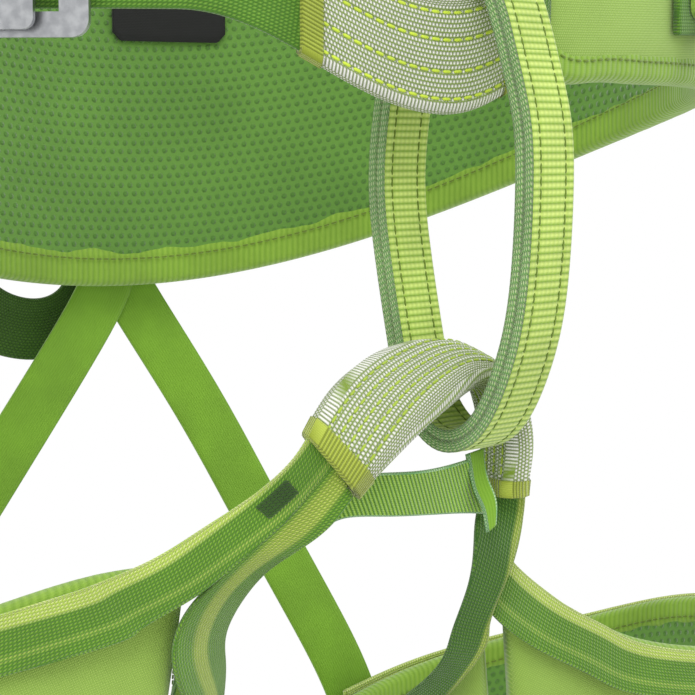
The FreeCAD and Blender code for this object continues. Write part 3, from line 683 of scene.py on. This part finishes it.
def make_waist_straps():
    """Make the belt's outside webbing, the tie-in strap, its sleeve and the label."""
    high, low = belt_rails(WEBBING_START, WEBBING_END, WEBBING_OFFSET, WEBBING_HALF, 60)
    strip = Strip(high, low, step=2.0)
    web = tape("waist_webbing_strap", strip, 1.7, (web_mat,) * 3, columns=8)
    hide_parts("waist_webbing")
    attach(web, "waist")
    high, low = belt_rails(STRAP_START, STRAP_END, WEBBING_OFFSET, WEBBING_HALF, 40)
    strip = Strip(high, low, step=1.5)
    web = tape("tie_in_strap", strip, 1.7, (web_mat,) * 3, columns=8)
    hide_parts("tie_in_webbing")
    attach(web, "waist")
    high, low = belt_rails(*SLEEVE_SPAN, WEBBING_OFFSET, SLEEVE_HALF, 30)
    strip = Strip(high, low, step=1.0)
    inner = (3.2, strip.length - 3.2)
    lines = [-9.8, -3.6, 3.6, 9.8]
    sleeve = tape("tie_in_sleeve_cover", strip, 4.6, (sleeve_mat,) * 3,
                  columns=60, crown=0.4, bulge=0.9, relief=sunk_lines(lines))
    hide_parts("tie_in_sleeve")
    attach(sleeve, "waist")
    for number, line in enumerate(lines, start=1):
        out = face_height(strip, 4.6, 0.4, line) - SINK + 0.2
        rows = stitches("tie_in_sleeve_stitches_%d" % number, strip, line, out, stitch_mat,
                        pitch=2.9, length=2.2, radius=0.4, span=inner)
        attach(rows, "waist")
    for number, end_span in enumerate(END_SPANS, start=1):
        high, low = belt_rails(*end_span, WEBBING_OFFSET, END_HALF, 8)
        cap = tape("tie_in_end_binding_%d" % number, Strip(high, low, step=0.7), 5.6,
                   (end_mat,) * 3, columns=16, crown=0.4, bulge=0.9)
        if number == 1:
            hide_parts("tie_in_end_bindings")
        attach(cap, "waist")
    angles = np.linspace(*LABEL_SPAN, 33)
    to_end = np.minimum(angles - LABEL_SPAN[0], LABEL_SPAN[1] - angles)
    bevel = np.clip(1.0 - to_end / 1.1, 0.0, 1.0) * 2.6
    high = spline(belt_points(angles, 0.0, LABEL_TOP - bevel))
    low = spline(belt_points(angles, 0.0, LABEL_BOTTOM + bevel))
    strip = Strip(high, low, step=1.0)
    patch = tape("label_blank", strip, 0.8, (label_mat,) * 3, columns=10, offset=-6.4)
    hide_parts("label_patch")
    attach(patch, "waist")


# ---------------------------------------------------------------- belay loop

BELAY_OUTLINE = [(20.0, -27.0), (24.0, -41.0), (25.2, -57.0), (23.6, -82.0), (18.6, -101.0),
                 (9.4, -115.8), (-4.0, -119.7), (-14.6, -110.9), (-19.6, -96.0),
                 (-24.2, -74.0), (-26.0, -52.0), (-22.0, -26.0), (-16.0, -5.0), (-2.0, 3.0),
                 (12.6, -9.0)]
BELAY_SEAMS = [-4.4, 4.4]
FRONT_Y = -104.0
LOOP_YAW = math.radians(15.0)
LOOP_FORWARD = np.array([math.sin(LOOP_YAW), -math.cos(LOOP_YAW), 0.0])
LOOP_SIDE = np.array([math.cos(LOOP_YAW), math.sin(LOOP_YAW), 0.0])


def loop_rails(depth, half):
    """Return the rails of one layer of the belay loop, depth inside its outline."""
    turns = 5
    repeated = BELAY_OUTLINE * turns + BELAY_OUTLINE[:1]
    line = spline([(out, up, 0.0) for out, up in repeated])
    where = np.linspace(2.0 / turns, 3.0 / turns, 241)
    flat = line(where)
    along = unit(np.gradient(flat, axis=0))
    inward = np.stack([along[:, 1], -along[:, 0], np.zeros(len(along))], axis=-1)
    flat = flat + inward * depth
    flat[-1] = flat[0]
    middle = flat[:, :1] * LOOP_FORWARD + flat[:, 1:2] * np.array([0.0, 0.0, 1.0])
    middle = middle + np.array([0.0, FRONT_Y, 0.0])
    return spline(middle + LOOP_SIDE * half), spline(middle - LOOP_SIDE * half)


def make_belay_loop():
    """Make the belay loop's two stitched layers of ribbed webbing."""
    def ribs(run, side, half):
        """Raise the cross ribs and sink the two seam lines."""
        rib = 0.07 * np.cos(run * 2.0 * math.pi / BELAY_RIB)
        seam = sum(np.exp(-((side - line) / 0.5) ** 2) for line in BELAY_SEAMS)
        flat = np.clip((half - np.abs(side)) / 1.0, 0.0, 1.0)
        return rib * flat - 0.28 * seam
    for node, depth, stitch_out in (("belay_loop_outer", 1.35, -1.2),
                                    ("belay_loop_inner", 4.05, 1.2)):
        high, low = loop_rails(depth, 7.4)
        strip = Strip(high, low, step=BELAY_RIB / 5.0, closed=True)
        layer = tape(node + "_webbing", strip, 2.7, (belay_highlit_mat, belay_edge_mat, belay_highlit_mat),
                     columns=26, relief=ribs, bulge=0.2)
        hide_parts(node)
        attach(layer, "belay_loop")
        rows = stitches(node + "_stitches", strip, BELAY_SEAMS, stitch_out, seam_mat,
                        pitch=2.9, length=2.3, radius=0.26, span=(0.5, strip.length - 1.0))
        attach(rows, "belay_loop")


# ---------------------------------------------------------------- leg tie-in bridge

BRIDGE_REAR = [(-52.0, -111.0, -117.6), (-48.7, -112.0, -111.2), (-41.0, -108.5, -103.6),
               (-29.0, -102.0, -98.4), (-17.0, -97.5, -96.2), (-5.6, -94.9, -96.2),
               (6.0, -92.0, -100.4), (11.6, -90.8, -110.0), (13.2, -91.5, -121.0),
               (13.4, -92.4, -131.0), (12.4, -92.6, -140.0)]
BRIDGE_FRONT = [(-41.5, -115.6, -133.0), (-37.0, -116.5, -126.1), (-29.0, -118.6, -117.6),
                (-20.0, -118.6, -110.6), (-11.0, -116.4, -105.4), (-2.0, -112.6, -102.4),
                (7.4, -109.0, -104.6), (13.4, -107.6, -112.0), (14.8, -107.6, -121.0),
                (14.0, -106.6, -131.0), (16.6, -104.0, -141.0)]


def make_bridge():
    """Make the arch that the belay loop hangs round: sleeve, end bindings and core webbing."""
    rails = (spline(BRIDGE_REAR), spline(BRIDGE_FRONT))
    strip = Strip(*rails, step=0.8, span=(0.13, 0.885))
    lines = [-6.0, -3.0, 0.0, 3.0, 6.0]
    sleeve = tape("bridge_sleeve_cover", strip, 7.0, (sleeve_mat,) * 3, columns=60, crown=0.5,
                  bulge=0.95, relief=sunk_lines(lines))
    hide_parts("bridge_sleeve")
    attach(sleeve, "waist")
    for number, line in enumerate(lines, start=1):
        out = face_height(strip, 7.0, 0.5, line) - SINK + 0.2
        for face, label in ((1.0, "under"), (-1.0, "top")):
            outer = abs(line) > 4.0
            if face > 0.0 and outer:
                continue
            last = strip.length * (0.7 if outer else 1.0) - 1.0
            rows = stitches("bridge_sleeve_stitches_%s_%d" % (label, number), strip, line,
                            face * out, bridge_thread_mat, pitch=2.5, length=2.1, radius=0.36,
                            span=(1.0, last))
            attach(rows, "waist")
    for number, span in enumerate(((0.095, 0.14), (0.875, 0.915)), start=1):
        end = Strip(*rails, step=0.6, span=span)
        cap = tape("bridge_end_binding_%d" % number, end, 7.8, (end_mat,) * 3, columns=18,
                   crown=0.5, bulge=0.95, inset=(-0.4, -0.4))
        if number == 1:
            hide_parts("bridge_end_bindings")
        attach(cap, "waist")
    core = Strip(*rails, step=2.0, span=(0.12, 0.9))
    band = tape("bridge_core_webbing", core, 3.4, (web_mat,) * 3, columns=6, inset=(1.7, 1.7))
    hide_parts("bridge_webbing")
    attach(band, "waist")
    top = [(-40.0, -107.0, -122.0), (-35.0, -107.6, -122.4), (-24.0, -107.4, -123.0),
           (-12.0, -105.4, -123.6), (0.0, -102.0, -123.0), (7.0, -100.0, -122.0)]
    low = [(-41.4, -107.0, -134.9), (-35.7, -107.5, -132.6), (-24.6, -106.6, -133.4),
           (-12.6, -104.4, -134.6), (-0.6, -101.4, -135.8), (7.6, -99.4, -137.0)]
    strip = Strip(spline(top), spline(low), step=0.5)
    strap = tape("cross_strap_webbing", strip, 1.3, (cross_mat, selvage_mat, cross_mat),
                 columns=20, bulge=0.8)
    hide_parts("cross_strap")
    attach(strap, "waist")
    near_edge = spline([(1.2, -101.4, -121.6), (1.6, -102.4, -126.6), (2.3, -103.4, -130.8),
                        (3.7, -104.4, -134.6), (4.9, -104.6, -140.4)])
    far_edge = spline([(7.6, -99.0, -121.0), (6.4, -101.8, -125.4), (6.7, -104.0, -129.2),
                       (7.6, -105.0, -133.0), (7.5, -105.0, -138.4)])
    fold = tape("cross_strap_fold", Strip(far_edge, near_edge, step=0.5), 1.5,
                (riser_mat, selvage_mat, riser_mat), columns=12, bulge=0.9)
    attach(fold, "waist")


# ---------------------------------------------------------------- leg loops

RIGHT_TOP = [(-71, -96.5, -141.5), (-92, -93.5, -142.5), (-120, -89.5, -149), (-152, -74, -160),
             (-176, -40, -176), (-184, 0, -194), (-172, 42, -212), (-144, 72, -226),
             (-108, 82, -233), (-74, 70, -236), (-50, 40, -232), (-40, 4, -222),
             (-42, -32, -206), (-51, -58, -190), (-59, -75, -171), (-62, -84, -162)]
RIGHT_LOW = [(-78, -91, -198), (-104, -91, -210), (-130, -87, -222), (-158, -72, -236),
             (-180, -40, -252), (-186, 0, -268), (-172, 42, -284), (-144, 72, -296),
             (-108, 82, -300), (-74, 70, -298), (-50, 40, -290), (-40, 4, -278),
             (-44, -34, -262), (-54, -60, -242), (-65, -75, -222), (-72, -82, -208)]
LEFT_TOP = [(24, -84, -157), (42, -85.5, -166), (63, -89, -177), (92, -93.5, -182),
            (124, -87, -185), (152, -64, -190), (168, -26, -194), (166, 15, -199),
            (150, 48, -211), (120, 70, -222), (90, 76, -230), (60, 68, -236), (34, 44, -236),
            (18, 10, -230), (12, -24, -218), (13, -52, -198), (18, -72, -178), (20, -80, -166)]
LEFT_LOW = [(30, -82, -216), (48, -86, -227), (70, -90, -236), (94, -95, -244),
            (126, -86, -252), (154, -62, -260), (170, -26, -268), (168, 15, -276),
            (150, 48, -284), (120, 70, -292), (90, 76, -296), (60, 68, -298), (34, 44, -294),
            (18, 10, -284), (13, -24, -270), (16, -52, -252), (23, -70, -234), (28, -76, -222)]
RIGHT_FRONT = ([(-47.6, -112.4, -111.4), (-52, -111, -118), (-60, -107.7, -125.4),
                (-71, -105.1, -132.1), (-81.8, -102.5, -138.2), (-92.9, -100.7, -142.1),
                (-103.7, -99.5, -144.8)],
               [(-42.6, -114.4, -118.6), (-47.6, -112.6, -124.4), (-53.9, -110.6, -131.4),
                (-63.7, -107.3, -140), (-73.5, -104.6, -147.2), (-84.5, -102.4, -152.9),
                (-95.5, -101.1, -156.6)])
RIGHT_INNER = ([(-38.4, -116, -126), (-42.4, -114.5, -131.6), (-47.4, -112.7, -136),
                (-53.2, -110.3, -139.8), (-58.6, -106.5, -145.5), (-60.4, -97, -156.5),
                (-57, -88, -166), (-51.4, -76, -176)],
               [(-42.4, -114.5, -118.8), (-47.2, -112.8, -124.8), (-53.3, -110.8, -131.8),
                (-62.6, -107.6, -139.6), (-72.4, -103.8, -149.4), (-76, -102.2, -162),
                (-68, -96, -178), (-57, -82, -193)])
LEFT_FRONT = ([(16.4, -91.6, -139), (19.4, -92.8, -149.4), (31.4, -92.1, -159.9),
               (40, -93.1, -165.9), (50.2, -94.5, -171.6), (61.7, -96.5, -177)],
              [(12.6, -88.6, -147), (14.2, -89.6, -160), (22.6, -90.6, -169.6),
               (33.2, -92, -176.6), (45.4, -94, -183.2), (58.6, -96.2, -189.2)])
LEFT_INNER = ([(12.6, -93.2, -127), (9.2, -95.6, -135), (6.8, -97.6, -142), (8.4, -93, -154.9),
               (8.4, -85.4, -169), (8.2, -76, -182)],
              [(17, -103.6, -127), (18.6, -101, -136), (18.2, -98.8, -146), (16, -97, -155.4),
               (14.8, -92, -167), (13.6, -85, -180)])
BAND_WIDE = 12.5
BAND_OFFSET = 6.6


def outside_pairs(rails, shares, sign, drop):
    """Return a band's two edges outside a pad, drop below the pad's upper rail."""
    high = rails[0](shares)
    low = rails[1](shares)
    ahead = np.minimum(shares + 0.002, 1.0)
    behind = ahead - 0.004
    along = rails[0](ahead) - rails[0](behind) + rails[1](ahead) - rails[1](behind)
    across = unit(high - low)
    outward = unit(np.cross(across, along)) * sign
    if drop is None:
        drop = np.linalg.norm(high - low, axis=1)[:, None] - BAND_WIDE
    edge = high - across * drop + outward * BAND_OFFSET
    return edge, edge - across * BAND_WIDE


def make_leg(side, sign, top_rows, low_rows, free):
    """Make one leg loop; the sign points the strips' normals away from the thigh."""
    body = side + "_leg"
    rails = (spline(top_rows), spline(low_rows))
    strip = Strip(*rails, step=2.5, sign=sign)
    body_pad = pad(side + "_leg_pad", strip, 7.8, 4.2, lining_mat, shell_mat, columns=26,
                   inner_relief=ripple(0.4, 24.0, 13), outer_relief=ripple(0.4, 30.0, 14))
    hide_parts(side + "_leg_foam", side + "_leg_lining", side + "_leg_shell")
    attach(body_pad, body)
    for upper, name in ((True, "_leg_binding_top"), (False, "_leg_binding_bottom")):
        edge = binding(side + name + "_tape", strip, upper, 7.0, 5.0, 5.4, 0.7, binding_mat,
                       ripple(0.3, 8.0, 15 + upper, 0.0))
        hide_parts(side + name)
        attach(edge, body)
        rows = edge_stitches(side + name + "_stitches", strip, 1.0 if upper else -1.0, 6.2, -4.0)
        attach(rows, body)
    front_free, inner_free = free
    high, low = outside_pairs(rails, np.linspace(0.17, 0.62, 10), sign, 0.0)
    front = Strip(spline(np.vstack([front_free[0], high])),
                  spline(np.vstack([front_free[1], low])), step=1.2, sign=sign)
    band_mat = woven(side + "_front_band", LIME, GREEN, 0.95, 0.8, 0.35, lean=1.0,
                     stripes=(-BAND_WIDE, BAND_STRIPES), mottle=0.12)
    band = tape(side + "_leg_band_front_webbing", front, 1.6, (band_mat,) * 3, columns=12,
                inset=(0.0, -0.6), bulge=0.7)
    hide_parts(side + "_leg_band_front")
    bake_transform(band)
    if side == "right":
        bartack = stitches("stem_bartack", front, [-1.6, -0.8, 0.0, 0.8, 1.6], 0.95, dark_web_mat,
                           pitch=1.1, length=1.5, radius=0.4, span=(11.0, 19.0), lean=0.5)
        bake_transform(bartack)
    high, low = outside_pairs(rails, np.linspace(0.87, 0.66, 5), sign, 0.0)
    inside = Strip(spline(np.vstack([inner_free[0], high])),
                   spline(np.vstack([inner_free[1], low])), step=1.2, sign=sign)
    drop_mat = woven(side + "_inner_band", LIME, GREEN, 0.95, 0.8, 0.35, lean=1.0,
                     stripes=(-BAND_WIDE, DROP_STRIPES[side]), mottle=0.12)
    seam = (0.0, -0.6) if side == "right" else (-0.6, 0.0)
    band = tape(side + "_leg_band_inner_webbing", inside, 1.6, (drop_mat,) * 3, columns=12,
                inset=seam, bulge=0.7)
    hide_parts(side + "_leg_band_inner")
    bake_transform(band)
    shares = np.linspace(0.02, 0.98, 30)
    high, low = outside_pairs(rails, shares, sign, None)
    lower = Strip(spline(high), spline(low), step=2.0, sign=sign)
    band = tape(side + "_leg_band_bottom_webbing", lower, 1.6, (web_mat,) * 3, columns=8)
    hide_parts(side + "_leg_band_bottom")
    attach(band, body)


# ---------------------------------------------------------------- risers and haul loop

RIGHT_RISER = [(-2, 106.4, -84), (-3, 105.8, -94), (-16, 103.4, -114), (-40, 99.4, -146),
               (-80, 95, -200), (-110, 92.4, -240)]
LEFT_RISER = [(4, 109.2, -84), (5, 108.4, -94), (27, 101.4, -133), (50, 94.4, -178),
              (70, 87.6, -218), (79, 85, -240)]
HAUL_LINE = [(-1.5, 113.2, -89.6), (-9, 112.8, -102), (-22, 112.6, -108), (-38, 111.4, -105),
             (-51, 108.4, -95), (-59, 105.6, -82)]


def line_rails(rows, wide):
    """Return rails either side of a middle line, square to the wearer's back."""
    line = spline(rows)
    shares = np.linspace(0.0, 1.0, 24)
    middle = line(shares)
    along = unit(np.gradient(middle, axis=0))
    across = unit(np.cross(along, np.array([0.0, 1.0, 0.0])))
    return spline(middle + across * wide / 2.0), spline(middle - across * wide / 2.0)


def make_back_straps():
    """Make the two elastic risers and the haul loop."""
    for side, rows in (("right", RIGHT_RISER), ("left", LEFT_RISER)):
        strip = Strip(*line_rails(rows, 18.0), step=2.0)
        strap = tape(side + "_riser_elastic", strip, 1.5, (riser_mat,) * 3, columns=10)
        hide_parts(side + "_riser")
        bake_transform(strap)
    strip = Strip(*line_rails(HAUL_LINE, 20.0), step=1.5)
    # The haul loop's dark green is painted shade of its shadowed side.
    strap = tape("haul_loop_webbing", strip, 1.7, (dark_web_mat,) * 3, columns=12)
    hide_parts("haul_loop")
    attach(strap, "haul")


make_belt()
make_waist_straps()
make_belay_loop()
make_bridge()
make_leg("right", 1.0, RIGHT_TOP, RIGHT_LOW, (RIGHT_FRONT, RIGHT_INNER))
make_leg("left", -1.0, LEFT_TOP, LEFT_LOW, (LEFT_FRONT, LEFT_INNER))
make_back_straps()


# ---------------------------------------------------------------- CAD nodes that show

def solid(name, light, dark, rough, metallic=0.0, sheen=0.0, scale=900.0, depth=0.03):
    """A material for CAD nodes, which have no cloth coordinates."""
    shade = Shade(name, rough, sheen, metallic, 0.5)
    grain = shade.noise(scale, 4.0)
    colour = shade.ramp(grain, [(0.3, dark), (0.7, light)])
    wear = shade.noise(120.0, 3.0)
    roughness = shade.maths("MULTIPLY_ADD", wear, 0.2, rough - 0.1)
    return shade.paint(colour, grain, depth, roughness)


metal_mat = solid("buckle_metal", linear(186, 188, 190), linear(160, 162, 165), 0.3, 1.0,
                  scale=400.0)
tube_mat = solid("gear_tube", linear(196, 206, 92), linear(180, 192, 74), 0.35)
tab_mat = solid("tab_fabric", linear(140, 176, 70), linear(106, 148, 44), 0.8, sheen=0.3,
                scale=1400.0, depth=0.1)


def dress(name, material):
    """Give a shown CAD node its material."""
    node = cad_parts[name]
    node.data.materials.clear()
    node.data.materials.append(material)


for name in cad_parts:
    if name.endswith("gear_loop"):
        dress(name, tube_mat)
    elif "_tab_" in name or name in ("strap_tail", "strap_keeper"):
        dress(name, tab_mat)
    elif name.startswith("buckle"):
        dress(name, metal_mat)


# ---------------------------------------------------------------- light

def make_stage():
    """Make the white surround and soft lights."""
    world = bpy.data.worlds.new("studio")
    bpy.context.scene.world = world
    world.use_nodes = True
    sky = world.node_tree.nodes["Background"]
    sky.inputs["Color"].default_value = (1.0, 1.0, 1.0, 1.0)
    sky.inputs["Strength"].default_value = 1.0
    bpy.context.scene.view_settings.view_transform = "Standard"
    for name, place, energy, wide in (("key", (-0.9, -1.2, 1.3), 16.0, 0.9),
                                      ("fill", (1.4, -0.9, 0.7), 6.0, 1.4)):
        data = bpy.data.lights.new(name, "AREA")
        data.energy = energy
        data.size = wide
        lamp = bpy.data.objects.new(name, data)
        lamp.location = place
        aim = -np.array(place) + np.array((0.0, -0.05, -0.12))
        lamp.rotation_euler = (math.atan2(math.hypot(aim[0], aim[1]), -aim[2]), 0.0,
                               math.atan2(aim[1], aim[0]) - math.pi / 2.0)
        bpy.context.scene.collection.objects.link(lamp)


make_stage()
